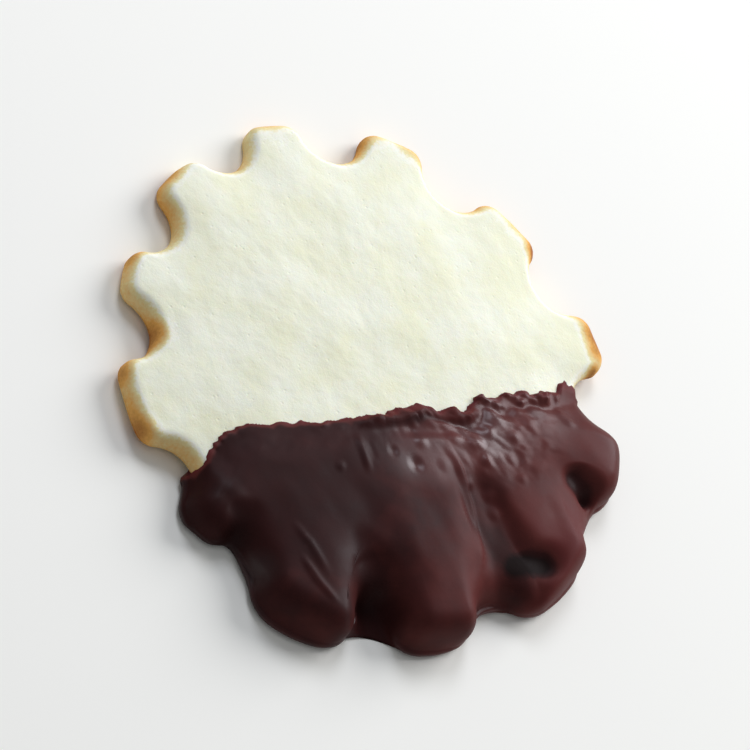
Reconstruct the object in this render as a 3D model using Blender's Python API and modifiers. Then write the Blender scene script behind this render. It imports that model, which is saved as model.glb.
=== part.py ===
"""A round, fluted shortbread with one end dipped in dark chocolate.

The biscuit lies face up. +Z is up, -Y points to the dipped end, and X runs
along the edge of the chocolate. The origin is on the surface it rests on,
under the middle of the biscuit.

Two solids: the baked shortbread, which runs on under the chocolate, and the
coat that wraps its dipped end on top, round the edge and underneath.
"""

import math

import bpy
import bmesh
from mathutils import Vector

MM = 0.001

# The fluted outline. Going round from +X, each row is one notch and the lobe
# after it: where the notch is (degrees), how far its bottom is from the middle,
# the radius of its round bite, and how far the lobe's tip is from the middle.
FLUTES = (
    (8.6, 33.5 * MM, 4.7 * MM, 38.2 * MM),
    (38.2, 32.9 * MM, 4.6 * MM, 38.4 * MM),
    (67.2, 32.4 * MM, 4.9 * MM, 37.6 * MM),
    (95.2, 32.6 * MM, 4.9 * MM, 36.4 * MM),
    (124.5, 31.0 * MM, 4.8 * MM, 35.4 * MM),
    (152.4, 30.8 * MM, 4.7 * MM, 36.4 * MM),
    (186.5, 31.5 * MM, 4.5 * MM, 35.8 * MM),
    (209.0, 31.2 * MM, 4.2 * MM, 37.8 * MM),
    (242.0, 29.6 * MM, 3.9 * MM, 35.6 * MM),
    (274.0, 30.6 * MM, 5.2 * MM, 35.6 * MM),
    (311.5, 31.3 * MM, 4.8 * MM, 36.7 * MM),
    (341.0, 32.0 * MM, 4.7 * MM, 38.6 * MM),
)
BLANK_RADIUS = 37.0 * MM        # the plain disc that the flutes are pressed into
LOBE_CORNER = 2.5 * MM          # rounding of a lobe's corners, seen from above
RIM_BAND = 2.3 * MM             # width of the band that follows the flutes
PLAIN_RADIUS = 22.0 * MM        # inside this the flutes no longer show

# The baked biscuit's thickness
RIM_HEIGHT = 2.9 * MM
DOME_RISE = 2.2 * MM            # the middle stands this much above the rim
TOP_ROUNDING = 1.5 * MM
BASE_ROUNDING = 0.8 * MM
BASE_CHAMFER = 0.3              # share of that rounding where its one facet breaks
SINK_HALF_WIDTH = 7.5 * MM      # how near a notch its sunken face begins
SINK_START = 24.0 * MM
SINK_END = 33.0 * MM

# The coat, which lifts its end of the biscuit
GAP = 0.3 * MM                  # free space between the two solids
COAT_WALL = 0.9 * MM
COAT_HEIGHT = RIM_HEIGHT + GAP + COAT_WALL
COAT_ROUNDING = 2.9 * MM
FAR_EDGE = 36.5 * MM            # where the bare end touches the surface
REST_TILT = math.radians(1.05)
FOOT_CURVE = 4.0                # how sharply the sides turn out into the foot
EDGE_BAND = 6.9 * MM            # how far in from the edge the foot and filled notches are felt
COAT_THINNING = 0.3             # share of the sunken face's depth that the coat loses
FILL_HALF_WIDTH = math.radians(15.0)

# How far the face sinks towards a notch, and how much of the notch is filled with
# chocolate right up to the face. The dipped ones go by their place in FLUTES, and
# the bare values stand for all the others.
BARE = (0.4 * MM, 0.0)
DIPPED = {
    6: (0.5 * MM, 0.10),
    7: (0.5 * MM, 0.55),
    8: (1.5 * MM, 0.10),
    9: (1.1 * MM, 0.15),
    10: (0.7 * MM, 0.85),
    11: (0.8 * MM, 0.20),
}

# The edge of the foot that the chocolate set in, going round the dipped end:
# degrees and distance from the middle
FOOT_LINE = (
    (168.0, 36.0 * MM),
    (180.0, 36.0 * MM),
    (187.0, 36.4 * MM),
    (193.0, 37.9 * MM),
    (200.0, 36.0 * MM),
    (206.0, 34.6 * MM),
    (211.0, 36.6 * MM),
    (217.0, 39.5 * MM),
    (223.0, 40.8 * MM),
    (229.0, 40.0 * MM),
    (237.0, 38.8 * MM),
    (246.0, 38.2 * MM),
    (254.0, 37.8 * MM),
    (260.0, 37.2 * MM),
    (266.0, 35.4 * MM),
    (272.0, 34.0 * MM),
    (281.0, 35.2 * MM),
    (290.0, 37.0 * MM),
    (297.0, 37.5 * MM),
    (304.0, 36.6 * MM),
    (311.5, 35.8 * MM),
    (319.0, 37.2 * MM),
    (327.0, 38.2 * MM),
    (334.0, 36.4 * MM),
    (341.0, 34.6 * MM),
    (356.0, 37.0 * MM),
    (370.0, 37.0 * MM),
)

# The fingers that the chocolate set in as it drained, all in mm: each one's route
# towards its tip, its half width and how much thicker the coat is there
FINGERS = (
    (((-27.0, -5.0), (-31.5, -6.6), (-37.5, -8.8)), 3.8, 0.6),
    (((-20.0, -9.0), (-21.5, -15.0), (-23.8, -22.0), (-26.5, -29.5), (-28.5, -35.0)), 8.0, 1.0),
    (((-2.0, -10.0), (-2.8, -16.0), (-5.2, -25.0), (-9.2, -36.0)), 9.0, 1.1),
    (((13.5, -13.5), (13.6, -19.0), (13.6, -27.0), (15.0, -36.0)), 7.0, 1.0),
    (((21.0, -11.5), (25.0, -16.5), (31.0, -22.0)), 7.0, 0.9),
)
FINGER_PLATEAU = 0.3            # share of a finger's half width that is flat on top
FINGER_START = 0.05             # shares of its route between which it rises
FINGER_END = 0.8

# The pits between them: route, half width of the bottom and of the top in mm, and
# the share of the height lost at the route's start and at its end
PITS = (
    (((-15.1, -21.5), (-14.7, -25.0), (-14.9, -30.5), (-15.8, -35.0)), 0.8, 3.2, (0.05, 0.85)),
    (((6.2, -15.0), (5.7, -22.0), (6.0, -27.5), (7.0, -32.0)), 0.6, 4.2, (0.02, 0.60)),
    (((22.3, -20.8), (23.8, -23.3)), 0.8, 3.6, (0.50, 0.50)),
    (((23.8, -23.3), (25.4, -27.5)), 0.4, 3.0, (0.30, 0.25)),
    (((-29.5, -13.0), (-32.0, -16.0)), 0.4, 3.0, (0.16, 0.30)),
)
PIT_END = 0.6                   # share of its route where a pit is at its full depth
PIT_WALL = 0.5 * MM             # least thickness of chocolate, at the bottom of a pit
PIT_SIDE_START = 0.9 * MM       # how far past the baked edge a pit goes down to the foot
PIT_SIDE_END = 2.8 * MM

# The edge of the chocolate across the face, from the left end to the right, and
# the block over the bare end that ends there
CUT_REACH = 60.0 * MM
CUT_HALF_HEIGHT = 30.0 * MM
DIP_LINE = (
    (-CUT_REACH, -12.0 * MM),
    (-38.0 * MM, -10.0 * MM),
    (-34.0 * MM, -7.4 * MM),
    (-31.5 * MM, -4.7 * MM),
    (-25.3 * MM, -0.8 * MM),
    (-21.6 * MM, -0.4 * MM),
    (-18.7 * MM, -1.7 * MM),
    (-10.3 * MM, -3.6 * MM),
    (-2.1 * MM, -4.9 * MM),
    (4.2 * MM, -5.2 * MM),
    (10.1 * MM, -8.1 * MM),
    (13.2 * MM, -6.6 * MM),
    (20.9 * MM, -7.6 * MM),
    (27.0 * MM, -8.8 * MM),
    (29.6 * MM, -7.3 * MM),
    (31.2 * MM, -9.4 * MM),
    (34.0 * MM, -13.0 * MM),
    (CUT_REACH, -16.0 * MM),
)

# Facets: straight pieces along one bite, one corner and one lobe tip
BITE_STEPS = 6
CORNER_STEPS = 3
TIP_STEPS = 2
COLUMNS = len(FLUTES) * (BITE_STEPS + 2 * CORNER_STEPS + TIP_STEPS)
ROUNDING_STEPS = 4
TOP_RINGS = (7.0 * MM, 14.0 * MM, PLAIN_RADIUS, 27.0 * MM, 31.0 * MM)
COAT_RINGS = (7.0 * MM, 14.0 * MM, 18.0 * MM, PLAIN_RADIUS, 24.5 * MM,
              27.0 * MM, 29.0 * MM, 31.0 * MM, 33.2 * MM)
BASE_RINGS = (31.0 * MM, PLAIN_RADIUS, 0.0)


def polar(radius, angle):
    return Vector((radius * math.cos(angle), radius * math.sin(angle)))


def smooth(value, low, high):
    """0 below low, 1 above high, and a smooth slope between."""
    t = min(1.0, max(0.0, (value - low) / (high - low)))
    return t * t * (3.0 - 2.0 * t)


def bell(distance, half_width):
    """1 at 0, falling smoothly to 0 at half_width on either side."""
    t = min(1.0, abs(distance) / half_width)
    return math.cos(t * math.pi / 2.0) ** 2


def turn_to(angle, target):
    """The signed angle from target to angle, between -pi and pi."""
    return (angle - target + math.pi) % (2.0 * math.pi) - math.pi


def flute(index):
    """One row of FLUTES in radians, with its bite's centre."""
    angle, bottom, bite, tip = FLUTES[index % len(FLUTES)]
    angle = math.radians(angle) + 2.0 * math.pi * (index // len(FLUTES))
    return angle, bottom + bite, bite, tip


def corner_angle(bite_centre, bite, tip):
    """Angle between a notch and the centre of the rounded corner beside it."""
    inner = tip - LOBE_CORNER
    reach = bite + LOBE_CORNER
    cosine = (bite_centre ** 2 + inner ** 2 - reach ** 2) / (2.0 * bite_centre * inner)
    return math.acos(cosine)


def rim_point(turn):
    """The outline at turn (0 to 1): a point, its outward normal, and its spoke's angle.

    A cell goes from one notch's middle to the next: half a bite, a corner,
    the lobe's tip, a corner, and half a bite.
    """
    steps_in_cell = COLUMNS // len(FLUTES)
    place = turn * len(FLUTES)
    index = int(place)
    step = (place - index) * steps_in_cell
    notch, centre, bite, tip = flute(index)
    next_notch, next_centre, next_bite, _ = flute(index + 1)
    spoke = notch + (next_notch - notch) * step / steps_in_cell

    start = notch + corner_angle(centre, bite, tip)
    end = next_notch - corner_angle(next_centre, next_bite, tip)
    first_corner = polar(tip - LOBE_CORNER, start)
    last_corner = polar(tip - LOBE_CORNER, end)
    to_bite = polar(centre, notch) - first_corner
    to_next_bite = polar(next_centre, next_notch) - last_corner
    in_angle = start - turn_to(start, math.atan2(to_bite.y, to_bite.x))
    out_angle = end - turn_to(end, math.atan2(to_next_bite.y, to_next_bite.x))

    half_bite = BITE_STEPS / 2.0
    if step <= half_bite:
        angle = notch + (in_angle - notch) * step / half_bite
        return polar(centre, notch) - polar(bite, angle), polar(1.0, angle), spoke
    step -= half_bite
    if step <= CORNER_STEPS:
        angle = in_angle + (start - in_angle) * step / CORNER_STEPS
        return first_corner + polar(LOBE_CORNER, angle), polar(1.0, angle), spoke
    step -= CORNER_STEPS
    if step <= TIP_STEPS:
        angle = start + (end - start) * step / TIP_STEPS
        return polar(tip, angle), polar(1.0, angle), spoke
    step -= TIP_STEPS
    if step <= CORNER_STEPS:
        angle = end + (out_angle - end) * step / CORNER_STEPS
        return last_corner + polar(LOBE_CORNER, angle), polar(1.0, angle), spoke
    step -= CORNER_STEPS
    angle = out_angle + (next_notch - out_angle) * step / half_bite
    return polar(next_centre, next_notch) - polar(next_bite, angle), polar(1.0, angle), spoke


def fluted_point(turn, inset):
    """The point this far in from the fluted outline; the flutes fade inwards."""
    point, normal, spoke = rim_point(turn)
    if inset <= RIM_BAND:
        return point - normal * inset
    band = point - normal * RIM_BAND
    depth = BLANK_RADIUS - RIM_BAND - PLAIN_RADIUS
    plain = max(0.0, BLANK_RADIUS - inset)
    fade = min(1.0, (inset - RIM_BAND) / depth)
    return band.lerp(polar(min(plain, PLAIN_RADIUS), spoke), fade)


def notch_sink(x, y):
    """How far the face sinks towards the notches."""
    radius = math.hypot(x, y)
    angle = math.atan2(y, x)
    sink = 0.0
    for index in range(len(FLUTES)):
        depth = DIPPED.get(index, BARE)[0]
        across = radius * turn_to(angle, flute(index)[0])
        sink += depth * bell(across, SINK_HALF_WIDTH)
    return sink * smooth(radius, SINK_START, SINK_END)


def face_height(x, y):
    """Height of the baked face above the baked underside."""
    dome = max(0.0, 1.0 - (math.hypot(x, y) / BLANK_RADIUS) ** 2)
    return RIM_HEIGHT + DOME_RISE * dome - notch_sink(x, y)


def lift(y):
    """How high the resting biscuit's underside is above the surface."""
    return (FAR_EDGE - y) * math.tan(REST_TILT)


def edge_profile(height, top_rings, top_rounding, wall_steps, outer=0.0):
    """Side profile of a plain disc, from the middle of its top to the middle of its base.

    The radius stays that of the blank at the fluted outline, whatever outer is:
    it says how far the skin stands outside that outline.
    """
    points = [(0.0, height)]
    for radius in top_rings:
        points.append((radius, height))
    points.append((BLANK_RADIUS + outer - max(RIM_BAND, top_rounding), height))
    for step in range(1, ROUNDING_STEPS + 1):
        angle = step * math.pi / 2.0 / ROUNDING_STEPS
        points.append((BLANK_RADIUS + outer - top_rounding * (1.0 - math.sin(angle)),
                       height - top_rounding * (1.0 - math.cos(angle))))
    wall_top = height - top_rounding
    for step in range(1, wall_steps + 1):
        points.append((BLANK_RADIUS + outer,
                       wall_top + (BASE_ROUNDING - wall_top) * step / wall_steps))
    chamfer = BASE_CHAMFER * BASE_ROUNDING
    points.append((BLANK_RADIUS + outer - chamfer, chamfer))
    points.append((BLANK_RADIUS + outer - BASE_ROUNDING, 0.0))
    for radius in BASE_RINGS:
        points.append((radius, 0.0))
    return points


def turned_disc(name, profile):
    """The profile turned round Z, as a mesh object."""
    mesh = bpy.data.meshes.new(name + "_profile")
    bm = bmesh.new()
    verts = [bm.verts.new((radius, 0.0, height)) for radius, height in profile]
    for first, second in zip(verts, verts[1:]):
        bm.edges.new((first, second))
    bm.to_mesh(mesh)
    bm.free()
    profile_object = bpy.data.objects.new(name + "_profile", mesh)
    bpy.context.scene.collection.objects.link(profile_object)
    screw = profile_object.modifiers.new("Turn", "SCREW")
    screw.axis = "Z"
    screw.angle = 2.0 * math.pi
    screw.steps = COLUMNS
    screw.render_steps = COLUMNS
    screw.use_merge_vertices = True
    screw.merge_threshold = 0.00001
    turned = bpy.data.meshes.new_from_object(
        profile_object.evaluated_get(bpy.context.evaluated_depsgraph_get()))
    turned.name = name
    bpy.data.objects.remove(profile_object)
    return bpy.data.objects.new(name, turned)


def reshape(obj, move):
    """Give each vertex of a turned disc its place, from its turn, radius and height."""
    for vertex in obj.data.vertices:
        x, y, z = vertex.co
        turn = math.atan2(y, x) / (2.0 * math.pi) % 1.0
        turn = round(turn * COLUMNS) % COLUMNS / COLUMNS
        vertex.co = move(turn, math.hypot(x, y), z)
    obj.data.update()


def place_baked(turn, radius, z):
    flat = fluted_point(turn, BLANK_RADIUS - radius)
    height = z * face_height(flat.x, flat.y) / RIM_HEIGHT
    return Vector((flat.x, flat.y, height + lift(flat.y)))


def along_route(flat, route):
    """A place's distance to a route given in mm, and the share of the route up to there."""
    nearest = math.inf
    share = 0.0
    for number, (start, end) in enumerate(zip(route, route[1:])):
        start = Vector(start) * MM
        stretch = Vector(end) * MM - start
        part = max(0.0, min(1.0, (flat - start).dot(stretch) / stretch.length_squared))
        away = (flat - start - stretch * part).length
        if away < nearest:
            nearest = away
            share = (number + part) / (len(route) - 1)
    return nearest, share


def finger_crown(flat):
    """How much thicker the coat is along its fingers."""
    crown = 0.0
    for route, half_width, rise in FINGERS:
        away, share = along_route(flat, route)
        across = 1.0 - smooth(away, FINGER_PLATEAU * half_width * MM, half_width * MM)
        crown = max(crown, rise * MM * across * smooth(share, FINGER_START, FINGER_END))
    return crown


def pit_share(flat):
    """How much of its height the coat loses in a pit, 0 to 1."""
    lost = 0.0
    for route, bottom, top, (first, last) in PITS:
        away, share = along_route(flat, route)
        depth = first + (last - first) * smooth(share, 0.0, PIT_END)
        lost = max(lost, depth * (1.0 - smooth(away, bottom * MM, top * MM)))
    return lost


def past_edge(flat):
    """How far outside the baked outline a place is, negative inside it."""
    nearest = math.inf
    past = 0.0
    for column in range(COLUMNS):
        point, normal, _ = rim_point(column / COLUMNS)
        away = (flat - point).length
        if away < nearest:
            nearest = away
            past = math.copysign(away, (flat - point).dot(normal))
    return past


def notch_fill(spoke):
    """How much of the nearest dipped notch the chocolate fills, 0 to 1."""
    fill = 0.0
    for index, (_, share) in DIPPED.items():
        fill += share * bell(turn_to(spoke, flute(index)[0]), FILL_HALF_WIDTH)
    return fill


def foot_radius(spoke):
    """How far out the chocolate's foot lies: a smooth curve through FOOT_LINE."""
    turn = math.degrees(spoke) % 360.0
    for place in range(1, len(FOOT_LINE) - 2):
        (start, first), (end, second) = FOOT_LINE[place:place + 2]
        if start <= turn <= end:
            share = (turn - start) / (end - start)
            before = FOOT_LINE[place - 1][1]
            after = FOOT_LINE[place + 2][1]
            bend = 2.0 * before - 5.0 * first + 4.0 * second - after
            twist = 3.0 * (first - second) + after - before
            return first + 0.5 * share * (second - before + share * (bend + share * twist))
    return FOOT_LINE[0][1]


def place_coat(turn, radius, z):
    """A point of the coat's outer skin."""
    grow = GAP + COAT_WALL
    flat = fluted_point(turn, BLANK_RADIUS - radius)
    spoke = rim_point(turn)[2]
    edge_inset = max(0.0, BLANK_RADIUS + grow - radius)
    near_edge = 1.0 - smooth(edge_inset, 0.0, EDGE_BAND)
    share = min(1.0, z / COAT_HEIGHT)
    spread = max((1.0 - share) ** FOOT_CURVE, notch_fill(spoke)) * near_edge
    flat = flat.lerp(polar(foot_radius(spoke) - edge_inset, spoke), spread)
    baked = face_height(flat.x, flat.y) + lift(flat.y)
    top = baked + grow + finger_crown(flat) - COAT_THINNING * notch_sink(flat.x, flat.y)
    lost = pit_share(flat)
    if lost > 0.0:
        down = smooth(past_edge(flat), PIT_SIDE_START, PIT_SIDE_END)
        floor = (baked + GAP + PIT_WALL) * (1.0 - down)
        top = max(floor, top * (1.0 - lost))
    return Vector((flat.x, flat.y, share * top))


def grown(source, name, distance):
    """A copy of a closed solid whose skin is moved outwards by distance."""
    bm = bmesh.new()
    bm.from_mesh(source.data)
    bm.normal_update()
    moved = [(vert, vert.co + vert.normal * distance) for vert in bm.verts]
    for vert, place in moved:
        vert.co = place
    mesh = bpy.data.meshes.new(name)
    bm.to_mesh(mesh)
    bm.free()
    return bpy.data.objects.new(name, mesh)


def dip_cutter():
    """A block over the bare end, whose near side follows the edge of the chocolate."""
    curve = bpy.data.curves.new("dip_outline", "CURVE")
    curve.dimensions = "2D"
    curve.fill_mode = "BOTH"
    curve.extrude = CUT_HALF_HEIGHT
    outline = DIP_LINE + ((CUT_REACH, CUT_REACH), (-CUT_REACH, CUT_REACH))
    spline = curve.splines.new("POLY")
    spline.points.add(len(outline) - 1)
    for point, (x, y) in zip(spline.points, outline):
        point.co = (x, y, 0.0, 1.0)
    spline.use_cyclic_u = True
    outline_object = bpy.data.objects.new("dip_outline", curve)
    bpy.context.scene.collection.objects.link(outline_object)
    mesh = bpy.data.meshes.new_from_object(
        outline_object.evaluated_get(bpy.context.evaluated_depsgraph_get()))
    bpy.data.objects.remove(outline_object)
    bm = bmesh.new()
    bm.from_mesh(mesh)
    bmesh.ops.remove_doubles(bm, verts=bm.verts, dist=0.00001)
    bmesh.ops.recalc_face_normals(bm, faces=bm.faces)
    bm.to_mesh(mesh)
    bm.free()
    return bpy.data.objects.new("dip_cutter", mesh)


def cut(target, cutter, name):
    boolean = target.modifiers.new(name, "BOOLEAN")
    boolean.operation = "DIFFERENCE"
    boolean.object = cutter


def material(name, colour, roughness):
    mat = bpy.data.materials.new(name)
    mat.use_nodes = True
    shader = mat.node_tree.nodes["Principled BSDF"]
    shader.inputs["Base Color"].default_value = colour + (1.0,)
    shader.inputs["Roughness"].default_value = roughness
    shader.inputs["Metallic"].default_value = 0.0
    return mat


def finish(obj, mat, collection):
    obj.data.materials.clear()
    obj.data.materials.append(mat)
    obj.data.shade_smooth()
    collection.objects.link(obj)


def hide_cutter(obj, collection):
    obj.hide_render = True
    obj.display_type = "WIRE"
    collection.objects.link(obj)


def centre_on_origin(parts, cutters):
    """Put the middle of the parts' outline over the origin, with the cutters kept in place."""
    depsgraph = bpy.context.evaluated_depsgraph_get()
    depsgraph.update()
    corners = [Vector(corner) for obj in parts.objects for corner in obj.evaluated_get(depsgraph).bound_box]
    for axis in (0, 1):
        low = min(corner[axis] for corner in corners)
        high = max(corner[axis] for corner in corners)
        for obj in list(parts.objects) + list(cutters.objects):
            obj.location[axis] = -(low + high) / 2.0


def main():
    for obj in list(bpy.data.objects):
        bpy.data.objects.remove(obj)
    parts = bpy.data.collections.new("chocolate_dipped_shortbread")
    cutters = bpy.data.collections.new("cutters")
    bpy.context.scene.collection.children.link(parts)
    bpy.context.scene.collection.children.link(cutters)

    baked = turned_disc("shortbread", edge_profile(RIM_HEIGHT, TOP_RINGS, TOP_ROUNDING, 2))
    reshape(baked, place_baked)
    finish(baked, material("pale_shortbread", (0.84, 0.82, 0.66), 0.85), parts)

    coat = turned_disc("chocolate_coat",
                       edge_profile(COAT_HEIGHT, COAT_RINGS, COAT_ROUNDING, 5, GAP + COAT_WALL))
    reshape(coat, place_coat)
    finish(coat, material("dark_chocolate", (0.055, 0.022, 0.020), 0.32), parts)

    bare_end = dip_cutter()
    hide_cutter(bare_end, cutters)
    cavity = grown(baked, "cavity", GAP)
    hide_cutter(cavity, cutters)
    cut(coat, bare_end, "Bare end")
    cut(coat, cavity, "Room for the shortbread")
    centre_on_origin(parts, cutters)


main()
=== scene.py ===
import math

import bmesh
import bpy
from mathutils import Matrix, Vector, kdtree, noise


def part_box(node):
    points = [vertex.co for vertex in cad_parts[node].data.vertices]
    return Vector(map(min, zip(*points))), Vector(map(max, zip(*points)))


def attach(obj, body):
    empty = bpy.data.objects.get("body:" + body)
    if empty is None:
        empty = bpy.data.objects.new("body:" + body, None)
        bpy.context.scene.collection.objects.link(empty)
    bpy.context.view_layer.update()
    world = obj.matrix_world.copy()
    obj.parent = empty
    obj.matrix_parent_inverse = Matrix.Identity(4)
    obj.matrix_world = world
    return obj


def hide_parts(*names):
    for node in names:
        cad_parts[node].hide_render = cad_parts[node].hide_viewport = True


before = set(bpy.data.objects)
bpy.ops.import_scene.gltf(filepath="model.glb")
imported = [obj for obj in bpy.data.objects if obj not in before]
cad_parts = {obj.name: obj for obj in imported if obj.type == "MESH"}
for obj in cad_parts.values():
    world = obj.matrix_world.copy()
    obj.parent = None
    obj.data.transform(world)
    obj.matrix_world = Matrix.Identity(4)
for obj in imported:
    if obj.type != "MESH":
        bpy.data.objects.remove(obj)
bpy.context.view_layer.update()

mm = 0.001  # the pieces are shaped in millimetres and become metres when they are finished


def smooth(value, low, high):  # 0 up to low, 1 from high on, with a soft step between them
    t = min(1.0, max(0.0, (value - low) / (high - low)))
    return t * t * (3.0 - 2.0 * t)


def bell(distance, halfWidth):  # 1 in the middle, 0 from halfWidth on
    t = abs(distance) / halfWidth
    return math.cos(t * math.pi / 2.0) ** 2 if t < 1.0 else 0.0


def mix(first, second, share):
    return first + (second - first) * share


def polar(radius, angle):
    return Vector((radius * math.cos(angle), radius * math.sin(angle)))


def turnTo(angle, target):  # the turn between two directions, at most half a turn either way
    return (angle - target + math.pi) % (2.0 * math.pi) - math.pi


def away(point, x, y):  # distance to a place, seen from above
    return math.hypot(point.x - x, point.y - y)


def waves(point, layer):  # soft noise: its height, the mm from wave to wave, and its seed
    height, size, seed = layer
    return height * noise.noise(Vector((point.x / size + seed, point.y / size - seed,
                                        point.z / size + 2.0 * seed)))


outline = {  # the fluted edge, seen from above, in mm
    # notch (degrees), its bottom's radius, its bite's radius, and the tip radius of the lobe after it
    "flutes": [
        (8.6, 33.5, 4.7, 38.2), (38.2, 32.9, 4.6, 38.4), (67.2, 32.4, 4.9, 37.6),
        (95.2, 32.6, 4.9, 36.4), (124.5, 31.0, 4.8, 35.4), (152.4, 30.8, 4.7, 36.4),
        (186.5, 31.5, 4.5, 35.8), (209.0, 31.2, 4.2, 37.8), (242.0, 29.6, 3.9, 35.6),
        (274.0, 30.6, 5.2, 35.6), (311.5, 31.3, 4.8, 36.7), (341.0, 32.0, 4.7, 38.6),
    ],
    "blankRadius": 37.0,     # the plain disc that the flutes are pressed into
    "lobeCorner": 2.5,
    "rimBand": 2.3,          # the band that follows the flutes
    "plainRadius": 22.0,     # inside this they no longer show
    "biteSteps": 24,         # how many columns a bite, a lobe's corner and its tip have
    "cornerSteps": 12,
    "tipSteps": 12,
}
fluteCount = len(outline["flutes"])
cellSteps = outline["biteSteps"] + 2 * outline["cornerSteps"] + outline["tipSteps"]
columns = fluteCount * cellSteps


def flute(index):  # a notch's direction, the middle and radius of its bite, and the tip after it
    angle, bottom, bite, tip = outline["flutes"][index % fluteCount]
    return math.radians(angle) + 2.0 * math.pi * (index // fluteCount), bottom + bite, bite, tip


def cornerAngle(biteCentre, bite, tip):  # from a notch to the middle of the lobe's corner beside it
    inner = tip - outline["lobeCorner"]
    reach = bite + outline["lobeCorner"]
    return math.acos((biteCentre ** 2 + inner ** 2 - reach ** 2) / (2.0 * biteCentre * inner))


def rimPoint(column):  # a point of the outline, its outward normal and its spoke
    index, step = divmod(column, cellSteps)
    notch, centre, bite, tip = flute(index)
    nextNotch, nextCentre, nextBite, _ = flute(index + 1)
    spoke = mix(notch, nextNotch, step / cellSteps)
    start = notch + cornerAngle(centre, bite, tip)
    end = nextNotch - cornerAngle(nextCentre, nextBite, tip)
    corner = outline["lobeCorner"]
    firstBite, nextBiteCentre = polar(centre, notch), polar(nextCentre, nextNotch)
    firstCorner, lastCorner = polar(tip - corner, start), polar(tip - corner, end)
    toBite, toNextBite = firstBite - firstCorner, nextBiteCentre - lastCorner
    inAngle = start - turnTo(start, math.atan2(toBite.y, toBite.x))
    outAngle = end - turnTo(end, math.atan2(toNextBite.y, toNextBite.x))
    halfBite = outline["biteSteps"] / 2.0
    arcs = [  # steps, middle, radius (negative where the arc is hollow), first and last angle
        (halfBite, firstBite, -bite, notch, inAngle),
        (outline["cornerSteps"], firstCorner, corner, inAngle, start),
        (outline["tipSteps"], Vector((0.0, 0.0)), tip, start, end),
        (outline["cornerSteps"], lastCorner, corner, end, outAngle),
        (halfBite, nextBiteCentre, -nextBite, outAngle, nextNotch),
    ]
    for steps, middle, radius, first, last in arcs:
        if step <= steps:
            angle = mix(first, last, step / steps)
            return middle + polar(radius, angle), polar(1.0, angle), spoke
        step -= steps


rim = [rimPoint(column) for column in range(columns)]


def flutedPoint(column, inset):  # this far in from the outline; the flutes fade inwards
    point, normal, spoke = rim[column]
    band = outline["rimBand"]
    if inset <= band:
        return point - normal * inset
    plain = outline["plainRadius"]
    fade = min(1.0, (inset - band) / (outline["blankRadius"] - band - plain))
    reached = min(plain, max(0.0, outline["blankRadius"] - inset))
    return (point - normal * band).lerp(polar(reached, spoke), fade)


xs = [point.x for point, _, _ in rim]
ys = [point.y for point, _, _ in rim]
bareLow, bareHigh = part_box("shortbread")
shift = Vector(((bareLow.x + bareHigh.x) / 2.0 / mm - (min(xs) + max(xs)) / 2.0,
                (bareLow.y + bareHigh.y) / 2.0 / mm - (min(ys) + max(ys)) / 2.0, 0.0))
print(f"outline of {columns} columns, moved {shift.x:.2f}, {shift.y:.2f} mm onto the model")


biscuit = {  # in mm
    "rimHeight": 2.9,
    "domeRise": 2.2,
    "topRounding": 1.5,
    "baseRounding": 0.8,
    # how far the face sinks towards each notch
    "sinks": [0.4, 0.4, 0.4, 0.4, 0.4, 0.4, 0.5, 0.5, 1.5, 1.1, 0.7, 0.8],
    "sinkHalfWidth": 7.5,
    "sinkBand": (24.0, 33.0),    # it sinks between these radii
    "farEdge": 36.5,             # where the bare end touches the floor
    "restTilt": math.radians(1.05),
    "faceRings": 92,
    "roundingRings": 12,
    "wallRings": 8,
    "baseRoundingRings": 4,
    "baseRings": 12,
    "loosening": 40,             # rounds
    # relief: its height, the mm from wave to wave, and its seed
    "broadWaves": (0.22, 13.0, 4.1),
    "shortWaves": (0.11, 6.0, 1.7),
    "edgeWander": (0.30, 5.0, 8.3),
    "doughLumps": (0.055, 2.3, 5.5),
    "crumb": (0.028, 0.95, 9.2),
    "baseNormal": -0.5,          # what faces further down than this is the underside,
    "baseShare": 0.4,            # which has this share of the lumps and crumb
    "reliefStart": 0.8,          # how high over the floor the relief is full
}


def notchSink(x, y):
    radius = math.hypot(x, y)
    if radius < biscuit["sinkBand"][0]:
        return 0.0
    angle = math.atan2(y, x)
    sink = 0.0
    for (notch, _, _, _), depth in zip(outline["flutes"], biscuit["sinks"]):
        sink += depth * bell(radius * turnTo(angle, math.radians(notch)), biscuit["sinkHalfWidth"])
    return sink * smooth(radius, *biscuit["sinkBand"])


def faceHeight(x, y):  # over the underside
    dome = max(0.0, 1.0 - (math.hypot(x, y) / outline["blankRadius"]) ** 2)
    return biscuit["rimHeight"] + biscuit["domeRise"] * dome - notchSink(x, y)


def lift(y):  # the underside's height over the floor
    return (biscuit["farEdge"] - y) * math.tan(biscuit["restTilt"])


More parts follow.
